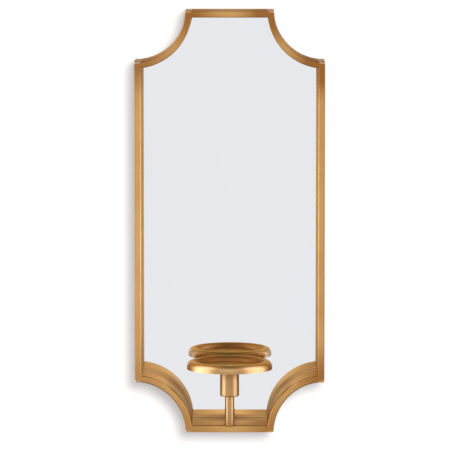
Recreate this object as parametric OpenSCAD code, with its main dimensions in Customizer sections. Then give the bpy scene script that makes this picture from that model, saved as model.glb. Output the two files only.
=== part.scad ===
/* [Frame] */
// Overall width of the welded frame
frame_w = 228.6; // [215:0.2:245]
// Overall height of the welded frame
frame_h = 508; // [460:1:560]
// Radius of the concave notch cut out of each corner
notch_r = 61; // [52:1:66]
// Width of the tube seen from the front
bar_w = 8.2; // [7.6:0.1:9]
// Depth of the tube, from its front edge to the mirror
bar_depth = 65.5; // [60:0.5:72]
// Wall thickness of the tube
bar_wall = 1.2; // [0.8:0.1:1.4]
// Rounding of the tube's long edges
edge_r = 1.8; // [1:0.1:1.8]
// Thickness of the plates that close the tube ends
cap_t = 2.2; // [2:0.1:2.8]

/* [Mirror and back] */
// Thickness of the mirror glass
glass_t = 3; // [2:0.5:4]
// How far the glass runs behind the tube, past its inner face
glass_lap = 1.6; // [1.2:0.1:1.8]
// Thickness of the adhesive film behind the glass
film_t = 0.6; // [0.4:0.1:1]
// Thickness of the back panel
panel_t = 12; // [11.5:0.1:15]
// How far the back panel's edge stays inside the frame's outline
panel_inset = 0.5; // [0.3:0.1:0.8]
// Diameter of the self-tapping screws that hold the panel to the tubes
panel_screw_d = 2.9; // [2.5:0.1:2.9]
// Length of those screws
panel_screw_l = 18; // [15:1:24]

/* [Hanging] */
// Distance between the two keyholes
keyhole_gap = 150; // [120:1:160]
// Height of the keyhole plates above the frame's centre
keyhole_z = 150; // [110:1:160]
// Diameter of the hole that a wall screw's head passes
head_hole_d = 9.5; // [8.5:0.1:10]
// Width of the slot that holds the wall screw's shank
slot_w = 4.6; // [4:0.1:5]
// Travel from the head hole's centre to the slot's end centre
slot_run = 10; // [8:0.5:11]
// Diameter of each wall bumper
bumper_d = 12; // [9:0.5:14]
// Thickness of each wall bumper
bumper_t = 2; // [1.5:0.5:4]

/* [Stem and collar] */
// Diameter of the stem rod
stem_d = 11; // [10:0.5:12]
// Radius of the weld flare at the stem's foot
foot_r = 2; // [1:0.5:3]
// Diameter of the threaded spigot on top of the stem
spigot_d = 8; // [6:0.5:9]
// Length of the threaded spigot
spigot_l = 12; // [9:0.5:13]
// Diameter of the collar under the candle pan
collar_d = 23; // [20:0.5:26]
// Height of the collar's lower edge above the frame's lowest edge
collar_z = 43.6; // [40:0.2:46]
// Depth of the stem in the collar's lower socket
socket_l = 12; // [9:0.5:13]
// Rounding of the collar's lower edge
collar_edge_r = 1.6; // [0.8:0.2:2.4]

/* [Candle pan] */
// Outer diameter of the candle pan
pan_d = 103; // [96:0.5:108]
// Height of the pan's lower edge above the frame's lowest edge
pan_z = 77; // [74:0.5:82]
// Width of the rolled rim, across its round back
rim_w = 14.4; // [12:0.2:16]
// Overall height of the rolled rim
rim_h = 10; // [9:0.2:12]
// Height of the pan's inner floor above its lower edge
floor_h = 3.5; // [3:0.1:4]
// Sheet thickness of the pan
pan_t = 1.5; // [1:0.1:1.8]
// Diameter of the countersunk screw head in the pan's floor
pan_screw_head_d = 9; // [8:0.5:10]
// Thread diameter of that screw
pan_screw_d = 5; // [4:0.5:5.5]

/* [Hidden] */
$fn = 96;

// Colours of the finishes
gold = [0.74, 0.55, 0.32];
cap_gold = [0.62, 0.46, 0.30];
silver = [0.88, 0.90, 0.92];
zinc = [0.70, 0.71, 0.72];
board_black = [0.10, 0.10, 0.10];
film_grey = [0.45, 0.45, 0.46];
rubber_grey = [0.22, 0.22, 0.23];

// The frame is drawn round its own centre, with the back panel's rear face at Y = 0
half_w = frame_w / 2;
half_h = frame_h / 2;
frame_back = panel_t;
frame_front = panel_t + bar_depth;
arc_inner_r = notch_r + bar_w;
shoulder_z = half_h - notch_r;
over = 1;

// How far the notch's curve rises across the width of one stile
shoulder_rise = notch_r - sqrt(notch_r * notch_r - bar_w * bar_w);

// How far a tube's end reaches over the rounded edges of the tube it is welded to
weld_reach = edge_r + 0.5;
// Rounding of the outline's convex corners, where the welds are ground
corner_r = 1;

// Clearance round parts that are screwed or bonded together
seat_gap = 0.03;
// Radial clearance of the collar on the stem, a running fit
turn_gap = 0.06;
// Clearance between the stem's shoulder and the collar
shoulder_gap = 0.3;
// Clearance of the glass in the panel's pocket
pocket_gap = 0.3;
// How far the film stays inside the edge of the glass
film_inset = 3;

// Keyhole plate: a steel strip with round ends, let into the panel
plate_w = 16;
plate_l = 44;
plate_t = 1.5;
plate_screw_gap = 34;
plate_screw_r = 1.25;
plate_screw_head_r = 2.7;
plate_screw_l = 6.5;
screw_pocket_w = 11.5;
screw_pocket_depth = 5;
head_hole_drop = slot_run / 2;

// Height of the head holes, where the origin is
hang_z = keyhole_z - head_hole_drop;

// Countersunk screws that hold the panel
panel_screw_r = panel_screw_d / 2;
panel_screw_head_r = 2.5;
panel_screw_head_h = 1.6;
stile_screw_z = [-150, -50, 50, 150];
rail_screw_x = [-30, 30];

// Bumpers sit inside the four shoulders
bumper_x = half_w - 18;
bumper_z = shoulder_z - 14;

// Stem and cup heights, measured from the frame's centre
stem_r = stem_d / 2;
stem_y = -(frame_front - stem_r);
rail_top = -half_h + bar_w;
collar_bottom = -half_h + collar_z;
pan_edge = -half_h + pan_z;
pan_floor = pan_edge + floor_h;
collar_top = pan_floor - pan_t;
stem_shoulder = collar_bottom + socket_l;
spigot_top = stem_shoulder + spigot_l;
pan_screw_head_h = (pan_screw_head_d - pan_screw_d) / 2;
pan_screw_l = 9.5;
spigot_chamfer = 0.8;

// ---------- shared shapes ----------

// Rectangle with four true round corners, from the origin
module round_rect(w, h, r) {
    translate([r, 0]) square([w - 2 * r, h]);
    translate([0, r]) square([w, h - 2 * r]);
    for (x = [r, w - r], y = [r, h - r])
        translate([x, y]) circle(r);
}

// Tube section: u runs across the bar from its outer face, v runs from back to front
module tube_section() {
    difference() {
        round_rect(bar_w, bar_depth, edge_r);
        translate([bar_wall, bar_wall])
            square([bar_w - 2 * bar_wall, bar_depth - 2 * bar_wall]);
    }
}

// Frame outline moved inwards by inset, with its four notches
module notched_outline(inset) {
    difference() {
        square([frame_w - 2 * inset, frame_h - 2 * inset], center = true);
        for (x = [-half_w, half_w], z = [-half_h, half_h])
            translate([x, z]) circle(notch_r + inset);
    }
}

// Outline drawn in X and Z, extruded from depth front to depth back
module upright_slab(front, back) {
    translate([0, -back, 0]) rotate([90, 0, 0])
        linear_extrude(front - back) children();
}

// Turns a part drawn upwards, along Z, to point at the wall from the panel's rear face
module facing_wall(x, z) {
    translate([x, 0, z]) rotate([-90, 0, 0]) children();
}

// Cylinder along Y, with its two ends at depths front and back
module bore_y(x, z, r, front, back) {
    translate([x, -back, z]) rotate([90, 0, 0])
        cylinder(h = front - back, r = r);
}

// Hole for a countersunk screw along Z: its mouth is at Z = 0 and it runs downwards
module countersunk_hole(head_r, head_h, shaft_r, length) {
    cylinder(h = over, r = head_r + seat_gap);
    translate([0, 0, -head_h])
        cylinder(h = head_h, r1 = shaft_r + seat_gap, r2 = head_r + seat_gap);
    translate([0, 0, -length]) cylinder(h = length - head_h / 2, r = shaft_r + seat_gap);
}

// Countersunk screw along Z: head at the top, tip downwards, with a cross recess
module countersunk_screw(head_r, head_h, shaft_r, length) {
    tip = shaft_r;
    recess_w = shaft_r * 0.5;
    recess_l = head_r * 1.1;
    recess_h = head_h * 0.7;
    difference() {
        union() {
            translate([0, 0, -head_h]) cylinder(h = head_h, r1 = shaft_r, r2 = head_r);
            translate([0, 0, tip - length]) cylinder(h = length - tip - head_h, r = shaft_r);
            translate([0, 0, -length]) cylinder(h = tip, r1 = shaft_r * 0.25, r2 = shaft_r);
        }
        for (turn = [0, 90])
            rotate([0, 0, turn])
                translate([-recess_l / 2, -recess_w / 2, -recess_h])
                    cube([recess_l, recess_w, recess_h + over]);
    }
}

// Moves a part drawn round the frame's centre so that the origin is between the keyholes
module hung() {
    translate([0, 0, -hang_z]) children();
}

// Puts a part of the top right corner at any corner: a flip of 1 mirrors it left or down
module at_corner(flip_x, flip_z) {
    hung() mirror([flip_x, 0, 0]) mirror([0, 0, flip_z]) children();
}

// Outer shape of an upright tube in the right stile's place
module stile_envelope() {
    translate([half_w - bar_w, -frame_front, 0])
        linear_extrude(half_h) round_rect(bar_w, bar_depth, edge_r);
}

// Outer shape of the top right arc, as a whole ring
module arc_envelope() {
    translate([half_w, 0, half_h]) rotate([90, 0, 0])
        rotate_extrude()
            translate([notch_r, frame_back]) round_rect(bar_w, bar_depth, edge_r);
}

// Outer shape of a level tube whose upper face is at the height top
module level_envelope(top) {
    translate([-half_w, -frame_front, top]) rotate([0, 90, 0])
        linear_extrude(frame_w) round_rect(bar_w, bar_depth, edge_r);
}

// Upright tube's hollow section from the height low to the height high
module upright_tube(x, low, high) {
    translate([x, -frame_front, low])
        linear_extrude(high - low) tube_section();
}

// ---------- frame ----------

// Upright tube, closed at both ends by caps, with the panel screws' holes at its back
module stile(side) {
    outer_x = side > 0 ? half_w - bar_w : -half_w;
    screw_x = side * (half_w - bar_w / 2);
    color(gold) difference() {
        upright_tube(outer_x, cap_t - shoulder_z, shoulder_z - cap_t);
        for (z = stile_screw_z)
            bore_y(screw_x, z, panel_screw_r + seat_gap, frame_back + bar_wall + over, frame_back - over);
    }
}

// Level tube between two arcs: its ends are coped to the arcs' curve, and its welds
// fill the rounded edges there
module rail(side) {
    top_z = side > 0 ? half_h : bar_w - half_h;
    screw_z = side * (half_h - bar_w / 2);
    reach = half_w - arc_inner_r + weld_reach;
    color(gold) difference() {
        translate([-reach, -frame_front, top_z]) rotate([0, 90, 0])
            linear_extrude(2 * reach) tube_section();
        for (flip = [0, 1])
            mirror([flip, 0, 0]) mirror([0, 0, side > 0 ? 0 : 1]) arc_envelope();
        for (x = rail_screw_x)
            bore_y(x, screw_z, panel_screw_r + seat_gap, frame_back + bar_wall + over, frame_back - over);
    }
}

// Curved tube of the top right notch: its lower end is coped to the stile and its top end
// is capped
module corner_arc() {
    color(gold) difference() {
        translate([half_w, 0, half_h]) rotate([90, 0, 0])
            rotate([0, 0, 180]) rotate_extrude(angle = 90)
                translate([notch_r, frame_back]) tube_section();
        stile_envelope();
        translate([half_w - bar_w + weld_reach, -frame_front - over, 0])
            cube([2 * bar_w, bar_depth + 2 * over, frame_h]);
        translate([0, -frame_front - over, half_h - cap_t])
            cube([frame_w, bar_depth + 2 * over, 2 * cap_t]);
    }
}

// Outline's convex corner with its weld ground round, at x and z, filling down and left
module ground_corner(x, z) {
    size = 2 * bar_w;
    upright_slab(frame_front, frame_back)
        translate([x - size, z - size]) {
            square([size - corner_r, size]);
            square([size, size - corner_r]);
            translate([size - corner_r, size - corner_r]) circle(corner_r);
        }
}

// Plate that closes the end of a tube whose left face is at x, level with the height top
module end_cap(x, top, thickness) {
    color(cap_gold) intersection() {
        translate([x, -frame_front, top - thickness])
            linear_extrude(thickness) round_rect(bar_w, bar_depth, edge_r);
        level_envelope(top);
        ground_corner(x + bar_w, top);
    }
}

// Cap of a stile, as high as the arc's outer face is where it meets the stile
module stile_cap() {
    end_cap(half_w - bar_w, shoulder_z + shoulder_rise, cap_t + shoulder_rise);
}

// Cap of an arc, level with the rail
module arc_cap() {
    end_cap(half_w - arc_inner_r, half_h, cap_t);
}

// ---------- mirror and back ----------

// Silvered glass, bedded in the back panel's pocket and lapping behind the tubes
module mirror_glass() {
    color(silver)
        upright_slab(frame_back, frame_back - glass_t)
            notched_outline(bar_w - glass_lap);
}

// Double-sided film between the glass and the panel
module adhesive_film() {
    color(film_grey)
        upright_slab(frame_back - glass_t, frame_back - glass_t - film_t)
            notched_outline(bar_w - glass_lap + film_inset);
}

// Outline of a keyhole plate grown by gap, with round ends, centred on its keyhole
module plate_outline(gap) {
    run = plate_l / 2 - plate_w / 2;
    square([plate_w + 2 * gap, 2 * run], center = true);
    for (z = [-run, run])
        translate([0, z]) circle(plate_w / 2 + gap);
}

// Board with the glass pocket in front, and the keyhole plates' seats at the back
module back_panel() {
    pocket_depth = glass_t + film_t;
    color(board_black) difference() {
        upright_slab(panel_t, 0) notched_outline(panel_inset);
        upright_slab(panel_t + over, panel_t - pocket_depth)
            notched_outline(bar_w - glass_lap - pocket_gap);
        for (side = [-1, 1])
            translate([side * keyhole_gap / 2, 0, keyhole_z]) plate_seat();
        for (x = [-1, 1], z = stile_screw_z)
            panel_screw_hole(x * (half_w - bar_w / 2), z);
        for (x = rail_screw_x, z = [-1, 1])
            panel_screw_hole(x, z * (half_h - bar_w / 2));
    }
}

// Seat of one keyhole plate, the pocket for a wall screw's head and two screw holes
module plate_seat() {
    upright_slab(plate_t, -over) plate_outline(0.2);
    upright_slab(plate_t + screw_pocket_depth, plate_t - over) {
        translate([-screw_pocket_w / 2, -head_hole_drop])
            square([screw_pocket_w, slot_run]);
        for (z = [-head_hole_drop, slot_run - head_hole_drop])
            translate([0, z]) circle(screw_pocket_w / 2);
    }
    for (z = [-plate_screw_gap / 2, plate_screw_gap / 2])
        facing_wall(0, z)
            countersunk_hole(plate_screw_head_r, plate_t, plate_screw_r, plate_screw_l + seat_gap);
}

// Countersunk hole through the panel for one panel screw
module panel_screw_hole(x, z) {
    facing_wall(x, z)
        countersunk_hole(panel_screw_head_r, panel_screw_head_h, panel_screw_r, panel_t + over);
}

// Twelve screws from behind: four into each stile and two into each rail
module panel_screws() {
    color(zinc) {
        for (x = [-1, 1], z = stile_screw_z)
            panel_screw(x * (half_w - bar_w / 2), z);
        for (x = rail_screw_x, z = [-1, 1])
            panel_screw(x, z * (half_h - bar_w / 2));
    }
}

module panel_screw(x, z) {
    facing_wall(x, z)
        countersunk_screw(panel_screw_head_r, panel_screw_head_h, panel_screw_r, panel_screw_l);
}

// ---------- hanging hardware ----------

// Steel strip with a keyhole: the head hole is below, the slot runs up from it
module keyhole_plate(side) {
    color(zinc) translate([side * keyhole_gap / 2, 0, keyhole_z]) difference() {
        upright_slab(plate_t, 0) plate_outline(0);
        bore_y(0, -head_hole_drop, head_hole_d / 2, plate_t + over, -over);
        upright_slab(plate_t + over, -over)
            translate([-slot_w / 2, -head_hole_drop]) square([slot_w, slot_run]);
        bore_y(0, slot_run - head_hole_drop, slot_w / 2, plate_t + over, -over);
        for (z = [-plate_screw_gap / 2, plate_screw_gap / 2])
            facing_wall(0, z)
                countersunk_hole(plate_screw_head_r, plate_t, plate_screw_r, plate_t + over);
    }
}

// Two countersunk screws in each keyhole plate
module keyhole_screws() {
    color(zinc)
        for (side = [-1, 1], z = [-plate_screw_gap / 2, plate_screw_gap / 2])
            facing_wall(side * keyhole_gap / 2, keyhole_z + z)
                countersunk_screw(plate_screw_head_r, plate_t, plate_screw_r, plate_screw_l);
}

// Soft disc behind the panel that keeps the frame off the wall
module bumper() {
    rim = bumper_t / 4;
    color(rubber_grey)
        facing_wall(bumper_x, bumper_z)
            rotate_extrude() {
                square([bumper_d / 2 - rim, bumper_t]);
                square([bumper_d / 2, bumper_t - rim]);
                translate([bumper_d / 2 - rim, bumper_t - rim]) circle(rim);
            }
}

// ---------- stem and candle cup ----------

// Rod welded on the bottom rail, flush with its front, with a spigot on top
module stem_rod() {
    weld_depth = edge_r;
    color(gold) difference() {
        translate([0, stem_y, 0]) {
            translate([0, 0, rail_top - weld_depth])
                cylinder(h = stem_shoulder - rail_top + weld_depth, r = stem_r);
            spigot();
            stem_flare(weld_depth);
        }
        translate([-stem_d, -frame_front - 2 * stem_d, -half_h])
            cube([2 * stem_d, 2 * stem_d, frame_h]);
        level_envelope(rail_top);
    }
}

// Threaded end of the rod, that the collar screws on to
module spigot() {
    translate([0, 0, stem_shoulder - over])
        cylinder(h = spigot_l - spigot_chamfer + over, d = spigot_d);
    translate([0, 0, spigot_top - spigot_chamfer])
        cylinder(h = spigot_chamfer, r1 = spigot_d / 2, r2 = spigot_d / 2 - spigot_chamfer);
}

// Concave weld flare that spreads the rod's foot on the rail
module stem_flare(depth) {
    translate([0, 0, rail_top]) rotate_extrude() difference() {
        translate([0, -depth]) square([stem_r + foot_r, foot_r + depth]);
        translate([stem_r + foot_r, foot_r]) circle(foot_r);
    }
}

// Threaded sleeve under the pan: a socket for the rod, a bore for the spigot, a solid top
module collar() {
    height = collar_top - collar_bottom;
    outer_r = collar_d / 2;
    color(gold) translate([0, stem_y, collar_bottom]) difference() {
        rotate_extrude() {
            translate([0, collar_edge_r]) square([outer_r, height - collar_edge_r]);
            square([outer_r - collar_edge_r, height]);
            translate([outer_r - collar_edge_r, collar_edge_r]) circle(collar_edge_r);
        }
        translate([0, 0, -over])
            cylinder(h = socket_l + shoulder_gap + over, r = stem_r + turn_gap);
        cylinder(h = socket_l + spigot_l + shoulder_gap, r = spigot_d / 2 + turn_gap);
        translate([0, 0, height + pan_t]) pan_screw_hole();
    }
}

// Countersunk hole for the pan's screw, with its mouth at Z = 0
module pan_screw_hole() {
    countersunk_hole(pan_screw_head_d / 2, pan_screw_head_h, pan_screw_d / 2, pan_screw_l + over);
}

// Inverted channel of the rolled rim: width, and height of its legs below the round back
module rim_channel(w, leg) {
    intersection() {
        circle(w / 2);
        translate([-w / 2, 0]) square([w, w / 2]);
    }
    translate([-w / 2, -leg]) square([w, leg]);
}

// Round pan: a flat floor inside a rolled rim whose outer lip hangs lower
module candle_pan() {
    rim_r = pan_d / 2 - rim_w / 2;
    leg = rim_h - rim_w / 2;
    color(gold) translate([0, stem_y, pan_edge]) difference() {
        rotate_extrude() {
            difference() {
                translate([rim_r, leg]) rim_channel(rim_w, leg);
                translate([rim_r, leg]) rim_channel(rim_w - 2 * pan_t, leg + over);
                translate([0, -over]) square([rim_r, floor_h - pan_t + over]);
            }
            translate([0, floor_h - pan_t]) square([rim_r - rim_w / 2 + pan_t / 2, pan_t]);
        }
        translate([0, 0, floor_h]) pan_screw_hole();
    }
}

// Countersunk screw, flush with the pan's floor, that joins the pan to the collar
module pan_screw() {
    color(zinc) translate([0, stem_y, pan_floor])
        countersunk_screw(pan_screw_head_d / 2, pan_screw_head_h, pan_screw_d / 2, pan_screw_l);
}

hung() stile(-1);  // left_stile
hung() stile(1);  // right_stile
hung() rail(1);  // top_rail
hung() rail(-1);  // bottom_rail
at_corner(1, 0) corner_arc();  // top_left_arc
at_corner(0, 0) corner_arc();  // top_right_arc
at_corner(1, 1) corner_arc();  // bottom_left_arc
at_corner(0, 1) corner_arc();  // bottom_right_arc
at_corner(1, 0) stile_cap();  // left_stile_top_cap
at_corner(1, 1) stile_cap();  // left_stile_bottom_cap
at_corner(0, 0) stile_cap();  // right_stile_top_cap
at_corner(0, 1) stile_cap();  // right_stile_bottom_cap
at_corner(1, 0) arc_cap();  // top_left_arc_cap
at_corner(0, 0) arc_cap();  // top_right_arc_cap
at_corner(1, 1) arc_cap();  // bottom_left_arc_cap
at_corner(0, 1) arc_cap();  // bottom_right_arc_cap
hung() mirror_glass();
hung() adhesive_film();
hung() back_panel();
hung() panel_screws();
hung() keyhole_plate(-1);  // left_keyhole_plate
hung() keyhole_plate(1);  // right_keyhole_plate
hung() keyhole_screws();
at_corner(1, 0) bumper();  // top_left_bumper
at_corner(0, 0) bumper();  // top_right_bumper
at_corner(1, 1) bumper();  // bottom_left_bumper
at_corner(0, 1) bumper();  // bottom_right_bumper
hung() stem_rod();
hung() collar();
hung() candle_pan();
hung() pan_screw();
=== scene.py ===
import math

import bpy
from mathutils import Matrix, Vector


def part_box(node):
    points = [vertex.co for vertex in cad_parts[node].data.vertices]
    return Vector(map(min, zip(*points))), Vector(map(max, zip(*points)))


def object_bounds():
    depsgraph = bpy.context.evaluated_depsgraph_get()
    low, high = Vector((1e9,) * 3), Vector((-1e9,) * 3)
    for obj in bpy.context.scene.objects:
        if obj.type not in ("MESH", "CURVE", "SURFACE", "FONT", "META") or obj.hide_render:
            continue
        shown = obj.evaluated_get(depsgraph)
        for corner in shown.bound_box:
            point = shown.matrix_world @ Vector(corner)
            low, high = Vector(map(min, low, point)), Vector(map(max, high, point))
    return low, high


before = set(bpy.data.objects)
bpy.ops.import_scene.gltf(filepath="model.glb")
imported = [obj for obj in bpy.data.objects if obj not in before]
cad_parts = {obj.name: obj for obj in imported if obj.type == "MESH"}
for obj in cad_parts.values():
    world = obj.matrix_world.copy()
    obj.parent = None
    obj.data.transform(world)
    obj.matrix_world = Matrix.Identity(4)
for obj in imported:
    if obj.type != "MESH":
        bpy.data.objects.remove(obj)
cad_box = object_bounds()

# ---------- the frame's own measures, in metres ----------

RAIL_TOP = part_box("bottom_rail")[1].z
STILE_LOW, STILE_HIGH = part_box("right_stile")
CAP_LOW, CAP_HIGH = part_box("top_right_arc_cap")
SHOULDER_LOW, SHOULDER_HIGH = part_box("right_stile_top_cap")
PAN_LOW, PAN_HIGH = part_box("candle_pan")
COLLAR_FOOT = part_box("collar")[0].z
FRONT_Y = STILE_LOW.y
MIRROR_Y = STILE_HIGH.y
WALL_Y = cad_box[1].y
CENTRE_Z = (cad_box[0].z + cad_box[1].z) / 2
CENTRE = (0, 0, CENTRE_Z)
HALF_WIDTH = STILE_HIGH.x
HALF_HEIGHT = CAP_HIGH.z - CENTRE_Z
TUBE_W = STILE_HIGH.x - STILE_LOW.x
NOTCH_R = STILE_HIGH.x - CAP_HIGH.x
OUTLINE_CORNER = (HALF_WIDTH, 0, HALF_HEIGHT)
PAN_R = (PAN_HIGH.x - PAN_LOW.x) / 2
PAN_AXIS = ((PAN_LOW.x + PAN_HIGH.x) / 2, (PAN_LOW.y + PAN_HIGH.y) / 2, 0)


# ---------- node helpers ----------

def add(tree, kind, inputs=None, **settings):
    """Adds a shader node; an input may be a number, a colour or another node's socket."""
    node = tree.nodes.new(kind)
    for key, value in settings.items():
        setattr(node, key, value)
    for key, value in (inputs or {}).items():
        if isinstance(value, bpy.types.NodeSocket):
            tree.links.new(value, node.inputs[key])
        else:
            node.inputs[key].default_value = value
    return node


def calc(tree, operation, a, b=0.0, clamp=False):
    """One Math node's result."""
    return add(tree, "ShaderNodeMath", {0: a, 1: b}, operation=operation, use_clamp=clamp).outputs[0]


def product(tree, *factors):
    """The factors multiplied together."""
    result = factors[0]
    for factor in factors[1:]:
        result = calc(tree, "MULTIPLY", result, factor)
    return result


def vector_calc(tree, operation, a, b=(0, 0, 0)):
    """One Vector Math node that gives a vector."""
    return add(tree, "ShaderNodeVectorMath", {0: a, 1: b}, operation=operation).outputs["Vector"]


def distance(tree, a, b):
    """The distance between two points."""
    return add(tree, "ShaderNodeVectorMath", {0: a, 1: b}, operation="DISTANCE").outputs["Value"]


def axis(tree, vector, name):
    """One component of a vector: X, Y or Z."""
    return add(tree, "ShaderNodeSeparateXYZ", {0: vector}).outputs[name]


def levelness(tree):
    """How much the surface faces straight up or down: 1 on level faces, 0 on upright ones."""
    normal = add(tree, "ShaderNodeTexCoord").outputs["Normal"]
    return calc(tree, "ABSOLUTE", axis(tree, normal, "Z"))


def ramp(tree, value, low, high, start=0.0, end=1.0):
    """Smooth step of value from low to high, giving start to end."""
    made = add(tree, "ShaderNodeMapRange", interpolation_type="SMOOTHSTEP")
    for name, number in (("From Min", low), ("From Max", high), ("To Min", start), ("To Max", end)):
        made.inputs[name].default_value = number
    tree.links.new(value, made.inputs["Value"])
    return made.outputs["Result"]


def band(tree, value, rise, fall):
    """1 between two smooth steps, 0 outside; rise and fall are each a low and a high value."""
    return product(tree, ramp(tree, value, *rise), ramp(tree, value, *fall, 1.0, 0.0))


def blend_colour(tree, factor, a, b):
    """Mixes two colours by factor."""
    made = add(tree, "ShaderNodeMix", data_type="RGBA", clamp_factor=True)
    for name, value in (("Factor_Float", factor), ("A_Color", a), ("B_Color", b)):
        socket = next(s for s in made.inputs if s.identifier == name)
        if isinstance(value, bpy.types.NodeSocket):
            tree.links.new(value, socket)
        else:
            socket.default_value = value
    return next(s for s in made.outputs if s.identifier == "Result_Color")


def noise(tree, where, scale, detail=2.0, roughness=0.5):
    """Noise from 0 to 1, with scale in features per metre."""
    made = add(tree, "ShaderNodeTexNoise", {"Vector": where, "Scale": scale, "Detail": detail,
                                            "Roughness": roughness})
    return made.outputs["Fac"]


def stretched(tree, where, stretch):
    """Coordinates scaled on each axis, so that noise draws out into streaks."""
    return vector_calc(tree, "MULTIPLY", where, stretch)


def colour(r, g, b):
    """An opaque colour."""
    return (r, g, b, 1.0)


def start_material(name):
    """A new material with its tree, its shader and object coordinates in metres."""
    made = bpy.data.materials.new(name)
    made.use_nodes = True
    tree = made.node_tree
    shader = next(n for n in tree.nodes if n.type == "BSDF_PRINCIPLED")
    where = add(tree, "ShaderNodeTexCoord").outputs["Object"]
    return made, tree, shader, where


def bump(tree, shader, height, strength, depth):
    """Feeds a height into the shader's normal; depth is its size in metres."""
    made = add(tree, "ShaderNodeBump", {"Height": height, "Strength": strength, "Distance": depth})
    tree.links.new(made.outputs["Normal"], shader.inputs["Normal"])


# ---------- gold finish ----------

# Tones: light and deep are the paint's two tones, edge is the tint of a grazing look.
GOLD_LIGHT = colour(0.66, 0.385, 0.146)
GOLD_DEEP = colour(0.60, 0.330, 0.112)
GOLD_EDGE = colour(1.00, 0.79, 0.49)
RICH_LIGHT = colour(0.50, 0.280, 0.090)
RICH_DEEP = colour(0.41, 0.220, 0.062)
FLAKE = colour(0.95, 0.72, 0.42)
# This dark brown is glaze at joints, in specks and in the pan, and painted shade on the frame and on the
# collar under the pan.
GLAZE_AND_SHADE = colour(0.26, 0.085, 0.012)
# Painted shade on the outer rounded front edges.
EDGE_SHADE = colour(0.21, 0.115, 0.065)
# Pale gold of the painted highlight line beside the mirror.
PAINTED_HIGHLIGHT = colour(0.66, 0.46, 0.27)
WELD_PALE = colour(0.50, 0.36, 0.28)
WELD_EDGE = colour(0.95, 0.82, 0.74)

# Reaches and bands of the glaze, of the painted shade and of the painted highlight line, in metres, and
# shares from 0 to 1.
CORNER_REACH = (0.010, 0.058)
CORNER_WANDER = 0.016
LEFT_SHARE, LOWER_SHARE = 0.76, 0.70
SHARE_SPAN = 0.12
# Band of the painted shade on the outer front edges.
OUTER_EDGE_BAND = (0.0008, 0.0020)
OUTER_EDGE_DEPTH = (0.0016, 0.0028)
# Band and share of the painted dark reflection line on the front edges.
FRONT_EDGE_RISE = (0.0001, 0.0006)
FRONT_EDGE_FALL = (0.0014, 0.0034)
LEVEL_EDGES = (0.55, 0.92)
EDGE_LINE_SHARE = 0.8
# Painted shade that deepens towards the mirror.
DEPTH_SHADE_START, DEPTH_SHADE_END = 0.032, 0.004
DEPTH_SHADE_SHARE = 0.72
DEPTH_WANDER = 0.012
# Painted shade: a little darker towards the top and the right.
UPPER_SHARE, RIGHT_SHARE = 0.22, 0.18
UPPER_START, UPPER_MARGIN = 0.10, 0.06
RIGHT_SPAN = 0.05
# Band and share of the painted highlight line, back from the glass.
HIGHLIGHT_RISE = (0.0125, 0.0085)
HIGHLIGHT_FALL = (0.0055, 0.0035)
HIGHLIGHT_SHARE, OUTER_EDGE_SHARE = 0.70, 0.85
HALF_STEP = 0.001


def fold(tree, where):
    """Distances across and up from the frame's centre, so that one quarter stands for all four."""
    centred = vector_calc(tree, "SUBTRACT", where, CENTRE)
    return vector_calc(tree, "MULTIPLY", vector_calc(tree, "ABSOLUTE", centred), (1, 0, 1))


def corner_glaze_and_shade(tree, where):
    """Glaze gathered near the eight welded corners, made a little stronger at the right and the top as
    painted shade.
    """
    rail_corner = (CAP_LOW.x + TUBE_W / 2, 0, HALF_HEIGHT - TUBE_W / 2)
    stile_corner = (SHOULDER_LOW.x + TUBE_W / 2, 0, SHOULDER_HIGH.z - CENTRE_Z - TUBE_W / 2)
    place = fold(tree, where)
    nearest = calc(tree, "MINIMUM", distance(tree, place, rail_corner), distance(tree, place, stile_corner))
    wander = calc(tree, "MULTIPLY", noise(tree, where, 45.0), CORNER_WANDER)
    corner = ramp(tree, calc(tree, "ADD", nearest, wander), *CORNER_REACH, 1.0, 0.0)
    # Painted shade: the corner glaze grows towards the right and the top.
    centred = vector_calc(tree, "SUBTRACT", where, CENTRE)
    across = ramp(tree, axis(tree, centred, "X"), STILE_LOW.x * -0.5, STILE_LOW.x * 0.5, LEFT_SHARE, 1.0)
    upward = ramp(tree, axis(tree, centred, "Z"), -SHARE_SPAN, SHARE_SPAN, LOWER_SHARE, 1.0)
    return product(tree, corner, across, upward)


def outer_edge(tree, where):
    """The rounded front edge at the outside of the stiles and the arcs, where painted shade goes: 1 on the
    edge, 0 elsewhere.
    """
    place = fold(tree, where)
    near, far = OUTER_EDGE_BAND
    arc = ramp(tree, distance(tree, place, OUTLINE_CORNER), NOTCH_R + near, NOTCH_R + far, 1.0, 0.0)
    side = ramp(tree, axis(tree, place, "X"), HALF_WIDTH - far, HALF_WIDTH - near)
    front = [FRONT_Y + step for step in OUTER_EDGE_DEPTH]
    near_front = ramp(tree, axis(tree, where, "Y"), *front, 1.0, 0.0)
    return product(tree, near_front, calc(tree, "MAXIMUM", arc, side))


def inner_side(tree, where):
    """1 on the tubes' faces towards the mirror's opening, 0 on the outer faces."""
    place = fold(tree, where)
    mid_x = HALF_WIDTH - TUBE_W / 2
    mid_z = HALF_HEIGHT - TUBE_W / 2
    mid_arc = NOTCH_R + TUBE_W / 2
    within_x = ramp(tree, axis(tree, place, "X"), mid_x - HALF_STEP, mid_x + HALF_STEP, 1.0, 0.0)
    within_z = ramp(tree, axis(tree, place, "Z"), mid_z - HALF_STEP, mid_z + HALF_STEP, 1.0, 0.0)
    radius = distance(tree, place, OUTLINE_CORNER)
    beyond_arc = ramp(tree, radius, mid_arc - HALF_STEP, mid_arc + HALF_STEP)
    return product(tree, beyond_arc, within_x, within_z)


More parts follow.
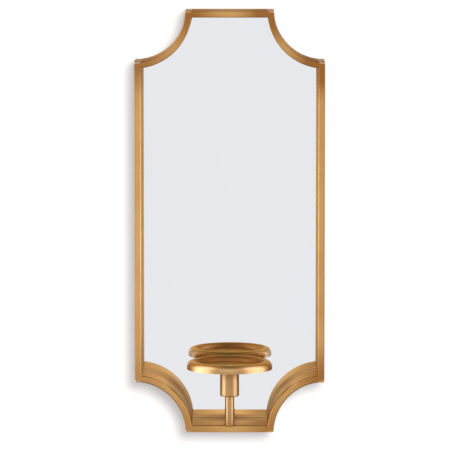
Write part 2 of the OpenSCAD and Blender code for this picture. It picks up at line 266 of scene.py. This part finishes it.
def painted_edge_line(tree, where):
    """A painted dark reflection along the rounded front edges where the tubes run level: a thin line."""
    rise = [FRONT_Y + step for step in FRONT_EDGE_RISE]
    fall = [FRONT_Y + step for step in FRONT_EDGE_FALL]
    share = ramp(tree, levelness(tree), *LEVEL_EDGES, 0.0, EDGE_LINE_SHARE)
    return product(tree, share, band(tree, axis(tree, where, "Y"), rise, fall))


def depth_shade(tree, where):
    """Painted shade that deepens from the tubes' front to the mirror."""
    wander = calc(tree, "MULTIPLY", noise(tree, where, 60.0), DEPTH_WANDER)
    depth = calc(tree, "ADD", axis(tree, where, "Y"), wander)
    start, end = FRONT_Y + DEPTH_SHADE_START, MIRROR_Y - DEPTH_SHADE_END
    return ramp(tree, depth, start, end, 0.0, DEPTH_SHADE_SHARE)


def height_glaze_and_shade(tree, where, low, high, low_value, high_value):
    """Darkening that changes with height, from low_value at low to high_value at high; it is glaze at
    joints and painted shade at the frame's top and under the pan.
    """
    wander = calc(tree, "MULTIPLY", calc(tree, "SUBTRACT", noise(tree, where, 160.0), 0.5), 0.004)
    height = calc(tree, "ADD", axis(tree, where, "Z"), wander)
    return ramp(tree, height, low, high, low_value, high_value)


def tube_glaze_and_shade(tree, where):
    """All darkening on the frame: glaze at the corners, and painted shade towards the mirror, at the top
    and the right, with a painted dark reflection line along the front edges.
    """
    # Painted shade: a little darker towards the top and towards the right.
    low, high = CENTRE_Z + UPPER_START, STILE_HIGH.z + UPPER_MARGIN
    upper = height_glaze_and_shade(tree, where, low, high, 0.0, UPPER_SHARE)
    x = axis(tree, where, "X")
    right = ramp(tree, x, STILE_LOW.x - RIGHT_SPAN, STILE_LOW.x, 0.0, RIGHT_SHARE)
    inside = calc(tree, "MAXIMUM", painted_edge_line(tree, where), depth_shade(tree, where))
    darkest = calc(tree, "MAXIMUM", corner_glaze_and_shade(tree, where), inside)
    return calc(tree, "ADD", darkest, calc(tree, "ADD", upper, right), clamp=True)


def painted_highlight_line(tree, where):
    """A painted highlight: a pale line on the tubes beside the mirror; it stops at the dark gap next to the
    glass.
    """
    rise = [MIRROR_Y - step for step in HIGHLIGHT_RISE]
    fall = [MIRROR_Y - step for step in HIGHLIGHT_FALL]
    return product(tree, inner_side(tree, where), band(tree, axis(tree, where, "Y"), rise, fall))


def add_coat(tree, shader, glaze_and_shade, weight):
    """Clear lacquer on the upright faces, thinner over the glaze and the painted shade."""
    sides = ramp(tree, levelness(tree), 0.45, 0.90, 1.0, 0.0)
    clean = ramp(tree, glaze_and_shade, 0.0, 0.6, weight, 0.1)
    tree.links.new(product(tree, sides, clean), shader.inputs["Coat Weight"])
    shader.inputs["Coat Roughness"].default_value = 0.24
    shader.inputs["Coat IOR"].default_value = 1.65


def gold(name, glaze_and_shade_of, glaze_and_shade_share=0.8, rough=0.36, grain=(1, 1, 1), light=GOLD_LIGHT,
         deep=GOLD_DEEP, tint=GOLD_EDGE, coat=0.0, is_tube=False):
    """Satin antique gold paint: two metal tones in soft clouds, fine flake, glaze and painted shade, and
    orange peel; tubes also get a painted highlight line and painted shade on their outer edges.
    """
    made, tree, shader, where = start_material(name)
    clouds = ramp(tree, noise(tree, where, 22.0, 3.0), 0.32, 0.70)
    base = blend_colour(tree, clouds, light, deep)
    streaks = noise(tree, stretched(tree, where, grain), 180.0, 3.0)
    base = blend_colour(tree, ramp(tree, streaks, 0.35, 0.75, 0.0, 0.14), base, deep)
    flake = add(tree, "ShaderNodeTexVoronoi", {"Vector": where, "Scale": 2600.0}).outputs["Distance"]
    base = blend_colour(tree, ramp(tree, flake, 0.05, 0.45, 0.06, 0.0), base, FLAKE)
    # This mask is glaze at joints and in hollows, and painted shade on the frame and on the collar under
    # the pan.
    glaze_and_shade = calc(tree, "MULTIPLY", glaze_and_shade_of(tree, where), glaze_and_shade_share)
    base = blend_colour(tree, glaze_and_shade, base, GLAZE_AND_SHADE)
    specks = ramp(tree, noise(tree, where, 900.0, 4.0, 0.7), 0.66, 0.78, 0.0, 0.25)
    base = blend_colour(tree, specks, base, GLAZE_AND_SHADE)
    if is_tube:
        # Painted highlight: a pale line beside the mirror.
        base = blend_colour(tree, product(tree, painted_highlight_line(tree, where), HIGHLIGHT_SHARE), base, PAINTED_HIGHLIGHT)
        # Painted shade on the outer rounded front edges.
        base = blend_colour(tree, product(tree, outer_edge(tree, where), OUTER_EDGE_SHARE), base, EDGE_SHADE)
    tree.links.new(base, shader.inputs["Base Color"])
    cloudy = calc(tree, "MULTIPLY", calc(tree, "SUBTRACT", clouds, 0.5), 0.04)
    duller = calc(tree, "MULTIPLY", glaze_and_shade, 0.24)
    roughness = calc(tree, "ADD", calc(tree, "ADD", cloudy, duller), rough)
    tree.links.new(roughness, shader.inputs["Roughness"])
    peel = noise(tree, where, 300.0, 1.0)
    height = calc(tree, "ADD", peel, calc(tree, "MULTIPLY", streaks, 0.2))
    bump(tree, shader, height, 0.05, 0.0001)
    shader.inputs["Metallic"].default_value = 1.0
    shader.inputs["Specular Tint"].default_value = tint
    if coat:
        add_coat(tree, shader, glaze_and_shade, coat)
    return made


# ---------- other finishes ----------

def mirror_silver():
    """Silvered glass: clean, faintly cool, with a trace of haze in soft clouds."""
    made, tree, shader, where = start_material("mirror_silver")
    haze = ramp(tree, noise(tree, where, 9.0, 3.0), 0.35, 0.75)
    tint = blend_colour(tree, haze, colour(0.895, 0.905, 0.922), colour(0.880, 0.890, 0.908))
    tree.links.new(tint, shader.inputs["Base Color"])
    smear = noise(tree, stretched(tree, where, (1.0, 1.0, 0.35)), 55.0, 4.0)
    tree.links.new(ramp(tree, smear, 0.45, 0.80, 0.004, 0.022), shader.inputs["Roughness"])
    bump(tree, shader, noise(tree, where, 6.0), 0.02, 0.0002)
    shader.inputs["Metallic"].default_value = 1.0
    return made


def foam_film():
    """Closed-cell foam film: grey, with small cells."""
    made, tree, shader, where = start_material("foam_film")
    cells = add(tree, "ShaderNodeTexVoronoi", {"Vector": where, "Scale": 1400.0}).outputs["Distance"]
    tone = blend_colour(tree, cells, colour(0.16, 0.16, 0.165), colour(0.24, 0.24, 0.245))
    tree.links.new(tone, shader.inputs["Base Color"])
    bump(tree, shader, cells, 0.4, 0.0003)
    shader.inputs["Roughness"].default_value = 0.85
    return made


def black_board():
    """Black painted fibreboard: paint soaked into short fibres, rubbed thin in places."""
    made, tree, shader, where = start_material("black_board")
    fibres = noise(tree, stretched(tree, where, (1.0, 1.0, 0.22)), 1500.0, 4.0, 0.65)
    mottle = noise(tree, where, 30.0, 4.0)
    tone = blend_colour(tree, ramp(tree, fibres, 0.35, 0.75), colour(0.020, 0.019, 0.018),
                        colour(0.045, 0.042, 0.038))
    worn = ramp(tree, calc(tree, "MULTIPLY", mottle, fibres), 0.34, 0.46, 0.0, 0.5)
    tone = blend_colour(tree, worn, tone, colour(0.110, 0.085, 0.060))
    tree.links.new(tone, shader.inputs["Base Color"])
    tree.links.new(ramp(tree, mottle, 0.3, 0.7, 0.55, 0.78), shader.inputs["Roughness"])
    bump(tree, shader, fibres, 0.35, 0.0004)
    return made


def zinc_plate():
    """Zinc plated steel: faint spangle and fine rolling lines."""
    made, tree, shader, where = start_material("zinc_plate")
    spangle = add(tree, "ShaderNodeTexVoronoi", {"Vector": where, "Scale": 420.0}).outputs["Color"]
    value = add(tree, "ShaderNodeSeparateColor", {0: spangle}).outputs[0]
    tone = blend_colour(tree, value, colour(0.56, 0.56, 0.55), colour(0.70, 0.71, 0.71))
    lines = noise(tree, stretched(tree, where, (1.0, 1.0, 0.05)), 3000.0, 3.0)
    tree.links.new(tone, shader.inputs["Base Color"])
    tree.links.new(ramp(tree, lines, 0.3, 0.7, 0.26, 0.42), shader.inputs["Roughness"])
    bump(tree, shader, lines, 0.15, 0.0001)
    shader.inputs["Metallic"].default_value = 1.0
    return made


def soft_rubber():
    """Matte rubber with a fine moulded texture."""
    made, tree, shader, where = start_material("soft_rubber")
    pores = noise(tree, where, 2200.0, 3.0)
    tone = blend_colour(tree, pores, colour(0.030, 0.030, 0.032), colour(0.060, 0.060, 0.064))
    tree.links.new(tone, shader.inputs["Base Color"])
    tree.links.new(ramp(tree, pores, 0.3, 0.7, 0.62, 0.80), shader.inputs["Roughness"])
    bump(tree, shader, pores, 0.3, 0.0002)
    return made


# ---------- finishes on the CAD pieces ----------

def paint(node, material):
    """Gives a CAD node one finish."""
    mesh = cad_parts[node].data
    mesh.materials.clear()
    mesh.materials.append(material)


def stem_glaze(tree, where):
    """Glaze at the stem's foot."""
    return height_glaze_and_shade(tree, where, RAIL_TOP - 0.001, RAIL_TOP + 0.012, 0.8, 0.15)


def collar_glaze_and_shade(tree, where):
    """Painted shade under the pan, and glaze at the collar's lower edge."""
    # Painted shade: darker right under the pan.
    upper = height_glaze_and_shade(tree, where, PAN_LOW.z - 0.016, PAN_LOW.z, 0.15, 1.0)
    lower = height_glaze_and_shade(tree, where, COLLAR_FOOT, COLLAR_FOOT + 0.003, 0.9, 0.0)
    return calc(tree, "MAXIMUM", upper, lower)


def pan_glaze(tree, where):
    """Glaze that settles on the pan's floor and against the inside of its rim."""
    level_place = vector_calc(tree, "MULTIPLY", where, (1, 1, 0))
    radius = distance(tree, level_place, PAN_AXIS)
    wander = calc(tree, "MULTIPLY", noise(tree, where, 110.0, 3.0), 0.003)
    return ramp(tree, calc(tree, "ADD", radius, wander), PAN_R * 0.80, PAN_R * 0.93, 1.0, 0.0)


def weld_glaze(tree, where):
    """Soft clouds of glaze on the ground ends of the welded tubes."""
    return noise(tree, where, 60.0)


def paint_all():
    """Every CAD piece gets its finish; level and upright tubes have their own grain."""
    upright = gold("gold_upright", tube_glaze_and_shade, grain=(1.0, 1.0, 0.06), is_tube=True)
    level = gold("gold_level", tube_glaze_and_shade, grain=(0.06, 1.0, 1.0), is_tube=True)
    curved = gold("gold_curved", tube_glaze_and_shade, grain=(0.5, 1.0, 0.5), is_tube=True)
    caps = gold("gold_caps", weld_glaze, glaze_and_shade_share=0.2, rough=0.50, light=WELD_PALE, tint=WELD_EDGE)
    rich = {"light": RICH_LIGHT, "deep": RICH_DEEP, "coat": 1.0}
    rod = gold("gold_stem", stem_glaze, glaze_and_shade_share=0.5, rough=0.46, grain=(1.0, 1.0, 0.2), **rich)
    sleeve = gold("gold_collar", collar_glaze_and_shade, glaze_and_shade_share=0.6, rough=0.46, grain=(1.0, 1.0, 0.2), **rich)
    pan = gold("gold_pan", pan_glaze, glaze_and_shade_share=0.6, rough=0.44, **rich)
    zinc = zinc_plate()
    rubber = soft_rubber()
    finishes = {
        "left_stile": upright, "right_stile": upright, "top_rail": level, "bottom_rail": level,
        "stem_rod": rod, "collar": sleeve, "candle_pan": pan, "pan_screw": zinc,
        "mirror_glass": mirror_silver(), "adhesive_film": foam_film(), "back_panel": black_board(),
        "panel_screws": zinc, "keyhole_screws": zinc,
        "left_keyhole_plate": zinc, "right_keyhole_plate": zinc,
    }
    for side in ("left", "right"):
        for end in ("top", "bottom"):
            finishes[f"{end}_{side}_arc"] = curved
            finishes[f"{end}_{side}_arc_cap"] = caps
            finishes[f"{side}_stile_{end}_cap"] = caps
            finishes[f"{end}_{side}_bumper"] = rubber
    for node, material in finishes.items():
        paint(node, material)


# ---------- stage ----------

WALL_W, WALL_H = 12.0, 6.0
FLOOR_DEPTH = 12.0
FLOOR_DROP = 0.35
WALL_GAP = 0.0002
WALL_TONE = colour(0.120, 0.119, 0.118)
FLOOR_TONE = colour(0.300, 0.298, 0.295)
GLOW_TONE = colour(1.0, 0.965, 0.955)
WALL_GLOW = 0.45
FLOOR_GLOW = 0.50


def camera_only(obj):
    """The camera sees this piece of the stage, and its light doesn't reach the object."""
    obj.visible_diffuse = False
    obj.visible_glossy = False
    obj.visible_transmission = False
    obj.visible_shadow = False


def plane(name, corners, material):
    """A four-cornered piece of the stage."""
    mesh = bpy.data.meshes.new(name)
    mesh.from_pydata(corners, [], [(0, 1, 2, 3)])
    made = bpy.data.objects.new(name, mesh)
    bpy.context.scene.collection.objects.link(made)
    camera_only(made)
    mesh.materials.append(material)


def one_sided(name, tone, glow_level):
    """A pale surface with a soft glow of its own; its back is clear, so it hides nothing from behind."""
    made = bpy.data.materials.new(name)
    made.use_nodes = True
    tree = made.node_tree
    tree.nodes.clear()
    white = add(tree, "ShaderNodeBsdfDiffuse", {"Color": tone})
    glow = add(tree, "ShaderNodeEmission", {"Color": GLOW_TONE, "Strength": glow_level})
    lit = add(tree, "ShaderNodeAddShader", {0: white.outputs[0], 1: glow.outputs[0]})
    clear = add(tree, "ShaderNodeBsdfTransparent")
    back = add(tree, "ShaderNodeNewGeometry").outputs["Backfacing"]
    mixed = add(tree, "ShaderNodeMixShader", {0: back, 1: lit.outputs[0], 2: clear.outputs[0]})
    out = add(tree, "ShaderNodeOutputMaterial")
    tree.links.new(mixed.outputs[0], out.inputs["Surface"])
    return made


def build_stage():
    """A pale wall right behind the object and a pale floor below it."""
    y = WALL_Y + WALL_GAP
    floor_z = cad_box[0].z - FLOOR_DROP
    left, right = -WALL_W / 2, WALL_W / 2
    wall_corners = [(left, y, floor_z), (right, y, floor_z),
                    (right, y, floor_z + WALL_H), (left, y, floor_z + WALL_H)]
    plane("studio_wall", wall_corners, one_sided("studio_wall", WALL_TONE, WALL_GLOW))
    floor_corners = [(left, y - FLOOR_DEPTH, floor_z), (right, y - FLOOR_DEPTH, floor_z),
                     (right, y, floor_z), (left, y, floor_z)]
    plane("studio_floor", floor_corners, one_sided("studio_floor", FLOOR_TONE, FLOOR_GLOW))


# ---------- light ----------

# Levels of the studio's light. The lines are heights on the sky, from -1 straight down to 1 straight up.
FRONT_LIGHT = 0.90
FLOOR_LIGHT = 0.90
UPPER_LIGHT = 1.50
SIDE_LIGHT = 0.42
BACK_LIGHT = 0.68
CEILING_LIGHT = 0.10
UPPER_LINE = (0.03, 0.12)
CEILING_LINE = (0.60, 0.90)
FLOOR_LINE = (-0.35, -0.80)
FRONT = (0.0, -1.0, 0.0)
BACK = (0.0, 1.0, 0.0)
FRONT_FADE = (0.80, 0.95)
BACK_FADE = (0.40, 0.80)
LEFT_LIGHT, RIGHT_LIGHT = 4.0, 3.0
LEFT_PANEL = (-1.0, 0.0, 0)
RIGHT_PANEL = (1.0, -0.15, 0)
LEFT_SPREAD, RIGHT_SPREAD = 33.0, 31.0
PANEL_CORE, PANEL_REACH = 0.55, 1.35
PANEL_RISE = (-0.55, -0.35)
PANEL_FALL = (0.75, 0.95)
RIGHT_SIDE = (0.10, 0.45)
RIGHT_DIM = 0.45
KEY_PLACE = (0.41, -4.0, CENTRE_Z + 0.75)
KEY_SIZE = 0.9
KEY_POWER = 760.0


def grey(level):
    """A neutral light of one level, a little cool."""
    return colour(level * 0.995, level, level * 1.01)


def toward(tree, direction, aim, low, high):
    """1 where a direction points close to the aim, 0 away from it."""
    dot = add(tree, "ShaderNodeVectorMath", {0: direction, 1: Vector(aim).normalized()},
              operation="DOT_PRODUCT").outputs["Value"]
    return ramp(tree, dot, low, high)


def softbox(tree, direction, level, side, spread):
    """A soft upright panel at one side: side is its direction, spread its half width in degrees."""
    inside = math.cos(math.radians(spread * PANEL_CORE))
    outside = math.cos(math.radians(spread * PANEL_REACH))
    across = toward(tree, level, side, outside, inside)
    return product(tree, across, band(tree, axis(tree, direction, "Z"), PANEL_RISE, PANEL_FALL))


def build_world():
    """A bright studio: a pale room in front, soft panels at both sides, a dim ceiling."""
    world = bpy.data.worlds.new("studio")
    bpy.context.scene.world = world
    world.use_nodes = True
    tree = world.node_tree
    direction = add(tree, "ShaderNodeTexCoord").outputs["Generated"]
    z = axis(tree, direction, "Z")
    level = vector_calc(tree, "NORMALIZE", vector_calc(tree, "MULTIPLY", direction, (1, 1, 0)))
    front = toward(tree, level, FRONT, *FRONT_FADE)
    behind = toward(tree, level, BACK, *BACK_FADE)
    room = blend_colour(tree, ramp(tree, z, *UPPER_LINE), grey(FRONT_LIGHT), grey(UPPER_LIGHT))
    right_side = ramp(tree, axis(tree, direction, "X"), *RIGHT_SIDE, 0.0, RIGHT_DIM)
    room = blend_colour(tree, right_side, room, grey(CEILING_LIGHT))
    around = blend_colour(tree, behind, grey(SIDE_LIGHT), grey(BACK_LIGHT))
    shade = blend_colour(tree, front, around, room)
    shade = blend_colour(tree, ramp(tree, z, *FLOOR_LINE), shade, grey(FLOOR_LIGHT))
    shade = blend_colour(tree, ramp(tree, z, *CEILING_LINE), shade, grey(CEILING_LIGHT))
    left = softbox(tree, direction, level, LEFT_PANEL, LEFT_SPREAD)
    right = softbox(tree, direction, level, RIGHT_PANEL, RIGHT_SPREAD)
    shade = blend_colour(tree, left, shade, grey(LEFT_LIGHT))
    shade = blend_colour(tree, right, shade, grey(RIGHT_LIGHT))
    background = next(n for n in tree.nodes if n.type == "BACKGROUND")
    tree.links.new(shade, background.inputs["Color"])


def aim_at(obj, place, target):
    """Puts a light or a camera at a place and turns it to its target."""
    obj.location = place
    obj.rotation_mode = "QUATERNION"
    obj.rotation_quaternion = (Vector(target) - Vector(place)).to_track_quat("-Z", "Y")


def build_key_light():
    """A round soft light in front, above and a little to the right; it isn't seen in the metal."""
    data = bpy.data.lights.new("key", "AREA")
    data.shape = "DISK"
    data.size = KEY_SIZE
    data.energy = KEY_POWER
    made = bpy.data.objects.new("key", data)
    aim_at(made, KEY_PLACE, (0, WALL_Y, CENTRE_Z))
    made.visible_glossy = False
    bpy.context.scene.collection.objects.link(made)


# ---------- camera ----------

LENS_MM = 280.2
SENSOR_MM = 36.0
DISTANCE = 4.20
EYE_X, EYE_UP = 0.012, 0.415
AIM_X, AIM_UP = -0.0055, -0.0026


def build_camera():
    """A long lens a little above and to the right of the frame's centre."""
    data = bpy.data.cameras.new("camera")
    data.lens = LENS_MM
    data.sensor_width = SENSOR_MM
    made = bpy.data.objects.new("camera", data)
    back = math.sqrt(DISTANCE ** 2 - (EYE_UP - AIM_UP) ** 2)
    eye = (EYE_X, FRONT_Y - back, CENTRE_Z + EYE_UP)
    aim_at(made, eye, (AIM_X, FRONT_Y, CENTRE_Z + AIM_UP))
    bpy.context.scene.collection.objects.link(made)
    bpy.context.scene.camera = made


def set_view():
    """Colours are shown as they are, without a film look."""
    settings = bpy.context.scene.view_settings
    settings.view_transform = "Standard"
    settings.look = "None"


build_camera()
paint_all()
build_stage()
build_world()
build_key_light()
set_view()
